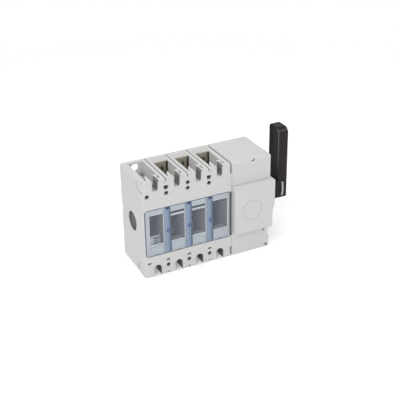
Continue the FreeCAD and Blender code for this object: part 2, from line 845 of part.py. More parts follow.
def flange_screw_places():
    reach = flange_size / 2 - flange_screw_inset
    return [(axis_y + across * reach, up * reach) for across in (-1, 1) for up in (-1, 1)]


def upper_housing_cover():
    body = block(housing_left, housing_right, front_y, seam_y, upper_cover_low, half_height)
    rounded = edges_along(body, 0, lambda point: point.y < front_y + 1 and point.z > upper_cover_low + 1)
    body = body.makeFillet(edge_radius, rounded)
    cavity = block(housing_inner_left, housing_right - housing_wall, front_y + housing_wall, seam_y + 1,
                   upper_cover_low + housing_wall, half_height - housing_wall)
    lift_x = housing_left + lift_mark_x
    lift = rod_y(front_y - 1, front_y + 2.4, lift_x, half_height - 1.2, 3.0)
    inner = rod_y(front_y - 2, front_y + 3, lift_x - 0.9, half_height - 0.2, 2.2)
    return body.cut([cavity, lift.cut(inner)])


def middle_housing_cover():
    top = upper_cover_low - shelf_gap
    body = block(housing_left, housing_right, middle_front, seam_y, middle_cover_low, top)
    bulge_x = housing_right + bulge_width
    side = [(housing_right - 1, bulge_low), (housing_right, bulge_low), (bulge_x, bulge_full)]
    side += [(bulge_x, top), (housing_right - 1, top)]
    body = body.fuse(profile_xz(side, middle_front, middle_front + bulge_depth)).removeSplitter()
    corner = edges_along(body, 2, lambda point: point.y < middle_front + 1 and point.x < housing_left + 1)
    body = body.makeFillet(1.2, corner)
    wall = housing_wall - 0.4
    cavity = block(housing_left + wall, housing_right - wall, middle_front + wall, seam_y + 1,
                   middle_cover_low + wall, top - wall)
    centre_x = housing_left + knockout_x
    ring = rod_y(middle_front - 1, middle_front + knockout_depth, centre_x, knockout_z, knockout_radius)
    inner_radius = knockout_radius - knockout_line
    ring = ring.cut(rod_y(middle_front - 2, middle_front + 1, centre_x, knockout_z, inner_radius))
    return body.cut([cavity, ring])


def lower_housing_cover():
    right = housing_right - lower_cover_inset
    top = middle_cover_low - shelf_gap
    body = block(housing_left, right, front_y, seam_y, -half_height, top)
    cavity = block(housing_inner_left, right - housing_wall, front_y + housing_wall, seam_y + 1,
                   -half_height + housing_wall, top - housing_wall)
    screw_hole = rod_y(front_y - 1, front_y + housing_wall + 1, right - 4.2, 4.2 - half_height, 2.2)
    key_slot = block(right - 10.5, right - 8.5, front_y - 1, front_y + housing_wall + 1, top - 10.0, top - 5.0)
    key_foot = block(right - 10.5, right - 5.5, front_y - 1, front_y + housing_wall + 1, top - 6.5, top - 5.0)
    slot_top = top - 4.0
    side_slot = block(right - side_slot_width, right + 1, front_y - 1, front_y + side_slot_depth,
                      slot_top - side_slot_height, slot_top)
    return body.cut([cavity, screw_hole, key_slot, key_foot, side_slot])


def frame_side(x0, centre_hole):
    plate = block(x0, x0 + frame_plate, frame_front, -housing_back - 0.05, frame_low, frame_high)
    plate = plate.makeFillet(6.0, edges_along(plate, 0, lambda point: point.y < frame_front + 1))
    tools = [rod_x(x0 - 1, x0 + frame_plate + 1, axis_y, 0, centre_hole)]
    window_front = axis_y + frame_window_drop
    window = block(x0 - 1, x0 + frame_plate + 1, window_front, window_front + frame_window,
                   -frame_window, frame_window)
    return plate.cut(tools + [window])


def left_frame_plate():
    return frame_side(left_plate_x, rotor_radius + 0.5)


def right_frame_plate():
    return frame_side(right_plate_x, bush_radius + key_clearance)


def frame_span():
    return left_plate_x + frame_plate + 0.02, right_plate_x - 0.02


def frame_spacers():
    start, end = frame_span()
    depths = (frame_front + spacer_inset, -housing_back - spacer_inset)
    heights = (frame_low + spacer_inset, frame_high - spacer_inset)
    return Part.makeCompound([rod_x(start, end, y, z, spacer_radius) for y in depths for z in heights])


def spring_anchor():
    start, end = frame_span()
    return rod_x(start, end, axis_y, spring_anchor_height, spring_anchor_radius)


def stop_pins():
    start = frame_span()[0]
    spread = degrees(asin((crank_tip_radius + stop_radius + stop_gap) / crank_radius))
    angles = (crank_pin_angle - spread, crank_pin_angle + rotor_travel + spread)
    return Part.makeCompound([rod_x(start, start + stop_length, *polar(crank_radius, angle), stop_radius)
                              for angle in angles])


def crank():
    pin_y, pin_z = polar(crank_radius, crank_pin_angle)
    end = crank_x + crank_thickness
    hub = rod_x(crank_x, end, axis_y, 0, crank_hub_radius)
    tip = rod_x(crank_x, end, pin_y, pin_z, crank_tip_radius)
    arm = block(crank_x, end, axis_y - crank_tip_radius, axis_y + crank_tip_radius, 0, crank_radius)
    arm = turned(arm, crank_pin_angle - 90)
    half_tenon = tenon_width / 2 + key_clearance
    tenon_hole = block(crank_x - 1, end + 1, axis_y - half_tenon, axis_y + half_tenon, -half_tenon, half_tenon)
    tenon_hole = tenon_hole.common(rod_x(crank_x - 1, end + 1, axis_y, 0, tenon_width * 0.62 + key_clearance))
    pin_hole = rod_x(crank_x - 1, end + 1, pin_y, pin_z, crank_pin_radius + key_clearance)
    return hub.fuse([tip, arm]).removeSplitter().cut([tenon_hole, pin_hole])


def crank_pin():
    pin_y, pin_z = polar(crank_radius, crank_pin_angle)
    return rod_x(crank_x, right_plate_x - 1.0, pin_y, pin_z, crank_pin_radius)


def drive_plate_solid():
    end = drive_plate_x + drive_plate
    disc = rod_x(drive_plate_x, end, axis_y, 0, drive_plate_radius)
    half_tenon = shaft_tenon / 2 + key_clearance
    bore = block(drive_plate_x - 1, end + 1, axis_y - half_tenon, axis_y + half_tenon, -half_tenon, half_tenon)
    lost_motion = lever_travel - rotor_travel
    slot_radius = crank_pin_radius + drive_slot_gap
    inner = crank_radius - slot_radius
    outer = crank_radius + slot_radius
    angles = [crank_pin_angle, crank_pin_angle - lost_motion / 2, crank_pin_angle - lost_motion]
    outer_points = [Vector(drive_plate_x - 1, *polar(outer, angle)) for angle in angles]
    inner_points = [Vector(drive_plate_x - 1, *polar(inner, angle)) for angle in angles]
    wire = Part.Wire([Part.Arc(*outer_points).toShape(), Part.makeLine(outer_points[2], inner_points[2]),
                      Part.Arc(inner_points[2], inner_points[1], inner_points[0]).toShape(),
                      Part.makeLine(inner_points[0], outer_points[0])])
    slot = Part.Face(wire).extrude(Vector(drive_plate + 2, 0, 0))
    ends = [rod_x(drive_plate_x - 1, end + 1, *polar(crank_radius, angle), slot_radius)
            for angle in (angles[0], angles[2])]
    return disc.cut([bore, slot] + ends)


def spring_tilt():
    pin_y, pin_z = polar(crank_radius, crank_pin_angle)
    return degrees(atan2(pin_y - axis_y, spring_anchor_height - pin_z))


def spring_length():
    pin_y, pin_z = polar(crank_radius, crank_pin_angle)
    return hypot(pin_y - axis_y, spring_anchor_height - pin_z)


def loop(x, z, inner, height):
    outer = rod_x(x - spring_wire / 2, x + spring_wire / 2, axis_y, z, inner + spring_wire)
    hole = rod_x(x - spring_wire, x + spring_wire, axis_y, z, inner)
    shank = block(x - spring_wire / 2, x + spring_wire / 2, axis_y - spring_wire / 2, axis_y + spring_wire / 2,
                  min(z, height), max(z, height))
    return outer.fuse(shank).cut(hole)


def toggle_spring(x):
    anchor = spring_anchor_height
    foot = anchor - spring_length()
    top_inner = spring_anchor_radius + running_clearance
    coil_top = anchor - top_inner - spring_wire - 3.0
    coil_low = coil_top - spring_turns * spring_wire
    grooves = [(x + spring_radius - spring_wire, coil_top)]
    for turn in range(spring_turns):
        z = coil_top - turn * spring_wire
        grooves += [(x + spring_radius - 0.5, z), (x + spring_radius, z - spring_wire / 2)]
    grooves += [(x + spring_radius - 0.5, coil_low), (x + spring_radius - spring_wire, coil_low)]
    face = Part.Face(Part.makePolygon([Vector(px, axis_y, pz) for px, pz in grooves + grooves[:1]]))
    coil = face.revolve(Vector(x, axis_y, 0), Vector(0, 0, 1), 360)
    caps = [rod_z(coil_top - spring_wire / 2, coil_top, x, axis_y, spring_radius - 0.6)]
    caps.append(rod_z(coil_low, coil_low + spring_wire / 2, x, axis_y, spring_radius - 0.6))
    upper = loop(x, anchor, top_inner, coil_top - 0.2)
    lower = loop(x, foot, spring_loop_inner, coil_low + 0.2)
    spring = coil.fuse(caps + [upper, lower]).removeSplitter()
    spring.rotate(Vector(0, axis_y, anchor), Vector(1, 0, 0), spring_tilt())
    return spring


def toggle_springs():
    first = crank_x + crank_thickness + spring_start - 5.0
    return Part.makeCompound([toggle_spring(first), toggle_spring(first + spring_spacing)])


def shaft_bush():
    start = right_plate_x - 0.6
    seat = right_plate_x + frame_plate
    body = rod_x(start, start + bush_length, axis_y, 0, bush_radius)
    flange = rod_x(seat, seat + bush_flange, axis_y, 0, bush_flange_radius)
    bore = rod_x(start - 1, start + bush_length + 1, axis_y, 0, shaft_radius + running_clearance)
    return body.fuse(flange).cut(bore)


def lever_shaft():
    half_tenon = shaft_tenon / 2
    round_start = drive_plate_x + drive_plate
    tenon = block(drive_plate_x, round_start + 1, axis_y - half_tenon, axis_y + half_tenon,
                  -half_tenon, half_tenon)
    tenon = tenon.common(rod_x(drive_plate_x - 1, round_start + 2, axis_y, 0, shaft_radius))
    body = rod_x(round_start, lever_x + shaft_insert, axis_y, 0, shaft_radius).fuse(tenon)
    return body.cut(lever_pin_hole())


def lever_pin_hole():
    return rod_z(-lever_width / 2, lever_width / 2, lever_x + 1.2, axis_y, lever_pin_radius + key_clearance)


def lever_pin():
    return rod_z(-lever_hub_top + 1.0, lever_hub_top - 1.0, lever_x + 1.2, axis_y, lever_pin_radius)


def handle_flange():
    half = flange_size / 2
    plate = block(flange_x, flange_x + flange_thickness, axis_y - half, axis_y + half, -half, half)
    plate = plate.makeFillet(flange_corner, edges_along(plate, 0, lambda point: True))
    boss = rod_x(flange_x, boss_end, axis_y, 0, boss_radius)
    tools = [rod_x(flange_x - 1, boss_end + 1, axis_y, 0, shaft_radius + running_clearance)]
    flange_end = flange_x + flange_thickness
    for y, z in flange_screw_places():
        tools.append(rod_x(flange_x - 1, flange_end + 1, y, z, flange_screw_radius + 0.2))
        tools.append(rod_x(flange_x + flange_screw_seat, flange_end + 1, y, z, flange_screw_head + 0.2))
    return plate.fuse(boss).removeSplitter().cut(tools)


def flange_screws():
    screws = []
    seat = flange_x + flange_screw_seat
    crown = flange_x + flange_thickness
    for y, z in flange_screw_places():
        head = rod_x(seat, crown, y, z, flange_screw_head)
        shank = rod_x(seat + 0.1 - flange_screw_length, seat + 0.1, y, z, flange_screw_radius)
        slot = block(crown - 1.0, crown + 1, y - 2.6, y + 2.6, z - 0.4, z + 0.4)
        screws.append(head.fuse(shank).cut(slot))
    return Part.makeCompound(screws)


def lever_outline(x0, x1, low, high):
    half_width = lever_width / 2
    body = block(x0, x1, axis_y - half_width, axis_y + half_width, low, high)
    return body


def side_lever():
    grip = lever_outline(lever_x, lever_outer_x, lever_bottom, lever_top)
    front_top = edges_along(grip, 0, lambda point: point.z > lever_top - 1 and point.y < axis_y)
    grip = grip.makeFillet(lever_front_round, front_top)
    back_top = edges_along(grip, 0, lambda point: point.z > lever_top - 1 and point.y > axis_y + 1)
    grip = grip.makeFillet(lever_back_round, back_top)
    inner_side = [edge for edge in grip.Edges if edge.BoundBox.ZMax > lever_hub_top + 5]
    grip = grip.makeFillet(lever_edge, inner_side)
    hub = lever_outline(lever_hub_x, lever_x + 1, lever_bottom, lever_hub_top)
    relief_top = lever_hub_top + lever_relief_length
    relief = lever_outline(lever_x - 1, lever_x + lever_relief, lever_hub_top, relief_top)
    slot_x0 = tongue_x
    slot_x1 = tongue_x + tongue_slot_width
    slot = block(slot_x0, slot_x1, axis_y - lever_width / 2 - 1, axis_y - lever_width / 2 + tongue_depth + 1.0,
                 tongue_low - tongue_clearance, tongue_high + tongue_clearance)
    bore = rod_x(lever_hub_x - 1, lever_x + shaft_insert + 0.2, axis_y, 0, shaft_radius + key_clearance)
    pin_reach = lever_hub_top - 0.9
    pin_hole = rod_z(-pin_reach, pin_reach, lever_x + 1.2, axis_y, lever_pin_radius + key_clearance)
    ribs = [block(lever_hub_x + shift, lever_hub_x + shift + 0.8, axis_y - lever_width / 2 - 1,
                  axis_y - lever_width / 2 + 0.8, lever_bottom - 1, lever_hub_top + 1) for shift in (2.2, 4.4)]
    return grip.cut(relief).fuse(hub).removeSplitter().cut([slot, bore, pin_hole] + ribs)


def padlock_tongue():
    x0 = tongue_x + tongue_clearance
    x1 = tongue_x + tongue_slot_width - tongue_clearance
    front = axis_y - lever_width / 2
    back = front + tongue_depth
    middle = (tongue_low + tongue_high) / 2
    top_front = Vector(x0, front, tongue_high)
    nose = Vector(x0, front - 1.6, middle)
    low_front = Vector(x0, front, tongue_low)
    wire = Part.Wire([Part.Arc(top_front, nose, low_front).toShape(),
                      Part.makeLine(low_front, Vector(x0, back, tongue_low)),
                      Part.makeLine(Vector(x0, back, tongue_low), Vector(x0, back, tongue_high)),
                      Part.makeLine(Vector(x0, back, tongue_high), top_front)])
    plate = Part.Face(wire).extrude(Vector(x1 - x0, 0, 0))
    return plate.cut(rod_x(x0 - 1, x1 + 1, front + tongue_hole_inset, middle, tongue_hole))


def assembly():
    nodes = {
        "rear_case": rear_case(),
        "front_cover": front_cover(),
        "window_cover": window_cover(),
        "window_screws": window_screws(),
        "case_screws": case_screw_set(),
        "label_holder": label_holder(),
        "label_card": label_card(),
        "terminal_nuts": terminal_nuts(),
        "leaf_springs": leaf_springs(),
        "blade_pins": blade_pins(),
        "rotor": rotor(),
        "rotor_end_cap": rotor_end_cap(),
        "mechanism_case": mechanism_case(),
        "upper_housing_cover": upper_housing_cover(),
        "middle_housing_cover": middle_housing_cover(),
        "lower_housing_cover": lower_housing_cover(),
        "left_frame_plate": left_frame_plate(),
        "right_frame_plate": right_frame_plate(),
        "frame_spacers": frame_spacers(),
        "spring_anchor": spring_anchor(),
        "stop_pins": stop_pins(),
        "crank": crank(),
        "crank_pin": crank_pin(),
        "drive_plate": drive_plate_solid(),
        "toggle_springs": toggle_springs(),
        "shaft_bush": shaft_bush(),
        "lever_shaft": lever_shaft(),
        "lever_pin": lever_pin(),
        "handle_flange": handle_flange(),
        "flange_screws": flange_screws(),
        "side_lever": side_lever(),
        "padlock_tongue": padlock_tongue(),
    }
    for number, centre in enumerate(live_poles, start=1):
        upper_block = rear_block(centre)
        nodes["upper_rear_block_%d" % number] = upper_block
        nodes["lower_rear_block_%d" % number] = upside_down(upper_block)
        nodes["upper_bar_%d" % number] = upper_bar(centre)
        nodes["lower_bar_%d" % number] = lower_bar(centre)
        nodes["moving_blades_%d" % number] = moving_blades(centre)
        nodes["arc_plates_%d" % number] = arc_plates(centre)
        nodes["arc_cheeks_%d" % number] = arc_cheeks(centre)
    return nodes


os.makedirs("parts", exist_ok=True)
for name, shape in assembly().items():
    shape.exportStep("parts/%s.step" % name)
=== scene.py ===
import bpy
import json
from math import cos, pi, radians, sin
from mathutils import Matrix, Vector


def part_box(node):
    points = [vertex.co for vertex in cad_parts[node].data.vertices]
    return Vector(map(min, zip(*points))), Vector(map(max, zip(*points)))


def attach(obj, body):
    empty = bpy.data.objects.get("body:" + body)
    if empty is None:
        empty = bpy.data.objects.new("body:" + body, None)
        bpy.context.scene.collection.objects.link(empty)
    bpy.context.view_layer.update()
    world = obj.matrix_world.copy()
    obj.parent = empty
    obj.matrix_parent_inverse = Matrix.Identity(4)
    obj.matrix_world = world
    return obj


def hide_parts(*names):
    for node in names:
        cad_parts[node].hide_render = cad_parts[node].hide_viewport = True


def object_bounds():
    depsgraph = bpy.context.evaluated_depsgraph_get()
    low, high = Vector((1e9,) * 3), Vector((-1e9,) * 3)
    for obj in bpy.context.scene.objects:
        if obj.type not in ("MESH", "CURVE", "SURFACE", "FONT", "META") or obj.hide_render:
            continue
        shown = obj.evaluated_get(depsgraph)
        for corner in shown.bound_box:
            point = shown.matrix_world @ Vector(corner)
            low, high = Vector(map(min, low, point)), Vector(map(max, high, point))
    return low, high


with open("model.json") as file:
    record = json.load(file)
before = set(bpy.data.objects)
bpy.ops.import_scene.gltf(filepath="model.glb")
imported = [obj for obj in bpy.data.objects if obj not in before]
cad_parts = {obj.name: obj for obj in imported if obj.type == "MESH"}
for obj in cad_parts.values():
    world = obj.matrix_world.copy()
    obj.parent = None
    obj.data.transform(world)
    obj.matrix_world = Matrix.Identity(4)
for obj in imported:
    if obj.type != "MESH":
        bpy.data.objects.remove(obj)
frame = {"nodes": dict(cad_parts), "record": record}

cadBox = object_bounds()
nodes = frame["nodes"]


def middleOf(node):
    low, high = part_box(node)
    return Vector(low).lerp(Vector(high), 0.5)


# the three live poles stand one pitch apart, and the blank one stands a pitch before them
pitch = middleOf("upper_bar_2").x - middleOf("upper_bar_1").x
firstPole = middleOf("upper_bar_1").x - pitch
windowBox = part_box("window_cover")


# Wiring for every node tree, of materials and of Geometry Nodes alike

class Wire:
    # one output socket; arithmetic on wires adds Math nodes
    def __init__(self, sheet, socket):
        self.sheet = sheet
        self.socket = socket

    def maths(self, operation, first, second=0.0):
        return self.sheet.node("ShaderNodeMath", {"operation": operation}, {0: first, 1: second})

    def other(self, name):
        # another output of the node that this wire comes from
        return Wire(self.sheet, self.socket.node.outputs[name])

    def __add__(self, other):
        return self.maths("ADD", self, other)

    def __radd__(self, other):
        return self.maths("ADD", other, self)

    def __sub__(self, other):
        return self.maths("SUBTRACT", self, other)

    def __rsub__(self, other):
        return self.maths("SUBTRACT", other, self)

    def __mul__(self, other):
        return self.maths("MULTIPLY", self, other)

    def __rmul__(self, other):
        return self.maths("MULTIPLY", other, self)

    def __truediv__(self, other):
        return self.maths("DIVIDE", self, other)

    def __rtruediv__(self, other):
        return self.maths("DIVIDE", other, self)

    def __pow__(self, other):
        return self.maths("POWER", self, other)

    def __gt__(self, other):
        return self.maths("GREATER_THAN", self, other)

    def __lt__(self, other):
        return self.maths("LESS_THAN", self, other)


class Sheet:
    # a node tree with a single method for adding nodes
    def __init__(self, tree):
        self.tree = tree
        self.tree.nodes.clear()

    def node(self, kind, settings=None, sockets=None, output=0):
        made = self.tree.nodes.new(kind)
        for name, value in (settings or {}).items():
            setattr(made, name, value)
        for name, value in (sockets or {}).items():
            for one in value if isinstance(value, list) else [value]:
                if isinstance(one, Wire):
                    self.tree.links.new(one.socket, made.inputs[name])
                else:
                    made.inputs[name].default_value = one
        if not made.outputs:
            return made
        return Wire(self, made.outputs[output])


def paint(red, green, blue):
    # a screen colour, 0 to 255, as the linear colour that shaders take
    def linear(value):
        value = value / 255
        return value / 12.92 if value <= 0.04045 else ((value + 0.055) / 1.055) ** 2.4
    return (linear(red), linear(green), linear(blue), 1.0)


def newSurface(name):
    material = bpy.data.materials.new(name)
    material.use_nodes = True
    return material, Sheet(material.node_tree)


def noise(sheet, place, scale, detail=2.0, roughness=0.5):
    return sheet.node("ShaderNodeTexNoise", {}, {"Vector": place, "Scale": scale, "Detail": detail,
                                                 "Roughness": roughness})


def clamped(sheet, value):
    return sheet.node("ShaderNodeClamp", {}, {"Value": value, "Min": 0.0, "Max": 1.0})


def between(sheet, share, first, second):
    return sheet.node("ShaderNodeMix", {"data_type": "RGBA"}, {0: share, 6: first, 7: second}, 2)


def softEdges(sheet, radius):
    return sheet.node("ShaderNodeBevel", {"samples": 6}, {"Radius": radius})


def bumpOn(sheet, height, strength, distance, normal):
    return sheet.node("ShaderNodeBump", {}, {"Height": height, "Strength": strength, "Distance": distance,
                                             "Normal": normal})


def openness(sheet, reach, alone=True):
    # 1 on open faces, falling towards 0 deep in slots and holes; not alone, its neighbours shade it too
    return sheet.node("ShaderNodeAmbientOcclusion", {"samples": 8, "only_local": alone},
                      {"Distance": reach}, "AO")


def finishWith(sheet, sockets):
    shader = sheet.node("ShaderNodeBsdfPrincipled", {}, sockets)
    sheet.node("ShaderNodeOutputMaterial", {}, {"Surface": shader})


# Moulded plastics; one dark tone is painted shade inside slots and holes, a darker one painted shade in
# joints and tight corners

# defaults: gain and offset shape the painted shade in hollows, the other shares place painted shade and
# highlights, and shine is the specular level
plainShades = {"gain": 1.6, "offset": 0.0, "topLightShare": 0.0, "innerShade": 0.0, "insideShade": 0.0,
               "slotShade": 0.0, "lowSlotShade": 0.0, "gapShade": 0.0, "ridge": 0.0, "flank": 0.0,
               "shine": 0.4}

plasticLooks = {
    "housing": {"light": paint(221, 221, 220), "dark": paint(213, 213, 211), "wearAndHighlight": paint(230, 230, 229),
                "deep": paint(80, 79, 77), "seam": paint(54, 54, 54), "reach": 0.012, "gain": 2.2,
                "offset": 0.15, "topLightShare": 0.86, "wearAndHighlightShare": 0.5, "insideShade": 0.52, "slotShade": 0.74,
                "lowSlotShade": 0.16, "gapShade": 0.85, "roughness": 0.5, "edge": 0.0006},
    "insulator": {"light": paint(214, 213, 209), "dark": paint(204, 203, 199),
                  "wearAndHighlight": paint(224, 223, 220), "deep": paint(110, 108, 100), "seam": paint(50, 48, 44),
                  "reach": 0.008, "gain": 2.6, "offset": 0.4, "topLightShare": 0.3, "wearAndHighlightShare": 0.4,
                  "gapShade": 0.85, "roughness": 0.5, "edge": 0.0005},
    "holder_plastic": {"light": paint(255, 255, 255), "dark": paint(252, 252, 253),
                       "wearAndHighlight": paint(255, 255, 255), "deep": paint(226, 230, 236),
                       "seam": paint(176, 182, 192), "reach": 0.002, "gain": 2.4, "wearAndHighlightShare": 0.2,
                       "roughness": 0.35, "edge": 0.0002},
    "rotor_plastic": {"light": paint(84, 79, 76), "dark": paint(68, 64, 62), "wearAndHighlight": paint(100, 95, 92),
                      "deep": paint(44, 42, 41), "seam": paint(26, 24, 24), "reach": 0.01, "wearAndHighlightShare": 0.5,
                      "roughness": 0.5, "edge": 0.0004},
    "black_plastic": {"light": paint(60, 55, 57), "dark": paint(50, 46, 48), "wearAndHighlight": paint(112, 109, 112),
                      "deep": paint(14, 13, 14), "seam": paint(8, 8, 9), "reach": 0.006, "wearAndHighlightShare": 0.6,
                      "innerShade": 0.95, "ridge": 0.8, "shine": 0.05, "roughness": 0.42,
                      "edge": 0.0011},
    "tongue_plastic": {"light": paint(196, 196, 198), "dark": paint(178, 179, 182),
                       "wearAndHighlight": paint(206, 206, 208), "deep": paint(90, 90, 92), "seam": paint(40, 40, 42),
                       "reach": 0.003, "wearAndHighlightShare": 0.3, "flank": 0.9, "roughness": 0.4, "edge": 0.0004},
    "fibre": {"light": paint(122, 96, 84), "dark": paint(98, 78, 70), "wearAndHighlight": paint(140, 114, 100),
              "deep": paint(60, 50, 46), "seam": paint(38, 30, 28), "reach": 0.01, "wearAndHighlightShare": 0.3,
              "roughness": 0.75, "edge": 0.0002},
}

# mould skin: scales of its clouds and grain, their shares of the tone, and what they do to the shine; also
# the gain of the painted edge highlight, the facing that gets painted top light, and the reach and strength
# of the painted contact shade
skinGrain = {"cloud": 34.0, "grain": 2600.0, "flow": 7.0, "cloudShare": 0.6, "flowShare": 0.5,
             "grainShare": 0.25, "toneShift": 0.17, "paleEdgeGain": 4.0, "upFacing": 0.9,
             "grainRough": 0.16, "cloudRough": 0.10, "bump": 0.16, "bumpDepth": 0.0001,
             "seamReach": 0.25, "seamGain": 3.2, "seamOffset": 0.65}

# lever: where its painted shade and highlights fall; facings are parts of its own surface normal, from -1
# to 1
leverSide = {"front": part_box("side_lever")[0][1], "fade": 0.024, "ridgeLow": 0.0405, "capLow": 0.09,
             "innerFacing": -0.8, "ridgeFacing": (-0.92, -0.5), "frontFacing": -0.3,
             "paleSlope": (0.48, 0.70), "darkSlope": (0.84, 0.95), "paleShare": 0.4, "darkShare": 0.6,
             "tongueFlank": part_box("padlock_tongue")[0][0] + 0.0014}
# where painted shade falls: inside the case behind the window, in the tool slots, and in the gaps beside
# the terminal plates
insideCase = {"side": 0.0705, "high": 0.0545, "front": -0.0785, "back": -0.004}
toolSlots = {"half": 0.0066, "low": 0.0575, "front": -0.0817, "back": -0.0645}
plateGaps = {"inner": 0.0093, "outer": 0.0122, "front": -0.0262, "low": 0.0560, "high": 0.0776,
             "start": firstPole + pitch / 2}


def slotAndGap(sheet, across, looks):
    # how much a point is shaded inside the case and its tool slots, and beside a terminal plate
    high, side = insideCase["high"], insideCase["side"]
    depth = across.other("Y")
    rise = across.other("Z")
    farUp = rise.maths("ABSOLUTE", rise)
    inside = (across > -side) * (across < side) * (rise > -high) * (rise < high)
    inside = inside * (depth > insideCase["front"]) * (depth < insideCase["back"])
    past = across.maths("FLOORED_MODULO", across - firstPole, pitch)
    fromPole = past.maths("MINIMUM", past, pitch - past)
    inSlot = (fromPole < toolSlots["half"]) * (across < side) * (farUp > toolSlots["low"])
    inSlot = inSlot * (depth > toolSlots["front"]) * (depth < toolSlots["back"])
    slotShare = inSlot * (looks["slotShade"] + (rise < 0.0) * looks["lowSlotShade"])
    inGap = (fromPole > plateGaps["inner"]) * (fromPole < plateGaps["outer"]) * (depth > plateGaps["front"])
    inGap = inGap * (farUp > plateGaps["low"]) * (farUp < plateGaps["high"])
    inGap = inGap * (across > plateGaps["start"]) * (across < side) * (depth < insideCase["back"])
    return inside * looks["insideShade"] + slotShare, inGap * looks["gapShade"]


def leverTones(sheet, skin, across, sideways, looks):
    # painted shade on the lever's inner side, a painted highlight on the ridge along its corner, a painted
    # highlight band and a painted shade band across its cap, and painted shade on its tongue's left flank,
    # so the tongue looks narrow
    behind = clamped(sheet, (across.other("Y") - leverSide["front"]) / leverSide["fade"])
    inner = (sideways < leverSide["innerFacing"]) * behind
    tone = between(sheet, inner * looks["innerShade"], skin, looks["seam"])
    ridge = (sideways > leverSide["ridgeFacing"][0]) * (sideways < leverSide["ridgeFacing"][1])
    ridge = ridge * (sideways.other("Y") < leverSide["frontFacing"])
    ridge = ridge * (across.other("Z") > leverSide["ridgeLow"])
    slope = sideways.other("Z")
    cap = (across.other("Z") > leverSide["capLow"]) * (sideways.other("Y") < 0.0) * looks["ridge"]
    pale = (slope > leverSide["paleSlope"][0]) * (slope < leverSide["paleSlope"][1])
    dim = (slope > leverSide["darkSlope"][0]) * (slope < leverSide["darkSlope"][1])
    tone = between(sheet, ridge * looks["ridge"], tone, looks["wearAndHighlight"])
    tone = between(sheet, cap * pale * leverSide["paleShare"], tone, looks["wearAndHighlight"])
    tone = between(sheet, cap * dim * leverSide["darkShare"], tone, looks["seam"])
    return between(sheet, (across < leverSide["tongueFlank"]) * looks["flank"], tone, looks["seam"])


def mouldedPlastic(name, ownLooks):
    # spark-eroded mould skin: a soft cloud of tone, a fine grain, and edges painted a little paler, a
    # painted edge highlight with a little wear
    looks = dict(plainShades, **ownLooks)
    material, sheet = newSurface(name)
    place = sheet.node("ShaderNodeTexCoord", {}, {}, "Object")
    cloud = noise(sheet, place, skinGrain["cloud"], 3.0)
    grain = noise(sheet, place, skinGrain["grain"], 2.0)
    flow = noise(sheet, place, skinGrain["flow"], 1.0)
    tone = cloud * skinGrain["cloudShare"] + flow * skinGrain["flowShare"]
    tone = tone + grain * skinGrain["grainShare"] - skinGrain["toneShift"]
    skin = between(sheet, tone, looks["dark"], looks["light"])
    facing = sheet.node("ShaderNodeNewGeometry", output="Normal")
    sideways = sheet.node("ShaderNodeSeparateXYZ", {}, {"Vector": place.other("Normal")}, "X")
    rounded = softEdges(sheet, looks["edge"])
    flatness = sheet.node("ShaderNodeVectorMath", {"operation": "DOT_PRODUCT"}, {0: facing, 1: rounded},
                          "Value")
    # painted edge highlight, with a little wear: rounded edges turn paler
    bent = clamped(sheet, (1.0 - flatness) * skinGrain["paleEdgeGain"])
    wornAndHighlit = between(sheet, bent * looks["wearAndHighlightShare"], skin, looks["wearAndHighlight"])
    across = sheet.node("ShaderNodeSeparateXYZ", {}, {"Vector": place}, "X")
    shaded = leverTones(sheet, wornAndHighlit, across, sideways, looks)
    # painted shade in hollows: the less open a point, the darker it is painted
    lit = clamped(sheet, openness(sheet, looks["reach"]) * looks["gain"] - looks["offset"])
    # painted top light: faces that look up are spared the painted shade and painted lighter
    topLight = (sideways.other("Z") > skinGrain["upFacing"]) * looks["topLightShare"]
    # painted shade inside the case, in the tool slots and in the gaps beside the terminal plates
    dark, black = slotAndGap(sheet, across, looks)
    shaded = between(sheet, dark * (1.0 - topLight), shaded, looks["deep"])
    shaded = between(sheet, black, shaded, looks["seam"])
    hollow = between(sheet, clamped(sheet, lit + topLight), looks["deep"], shaded)
    # painted contact shade in joints and tight corners, where neighbouring parts shade each other
    nearness = openness(sheet, looks["reach"] * skinGrain["seamReach"], False)
    seam = clamped(sheet, nearness * skinGrain["seamGain"] - skinGrain["seamOffset"])
    colour = between(sheet, seam, looks["seam"], hollow)
    rough = looks["roughness"] + (grain - 0.5) * skinGrain["grainRough"]
    rough = rough + (cloud - 0.5) * skinGrain["cloudRough"]
    normal = bumpOn(sheet, grain, skinGrain["bump"], skinGrain["bumpDepth"], rounded)
    finishWith(sheet, {"Base Color": colour, "Roughness": rough, "Normal": normal,
                       "Specular IOR Level": looks["shine"]})
    return material


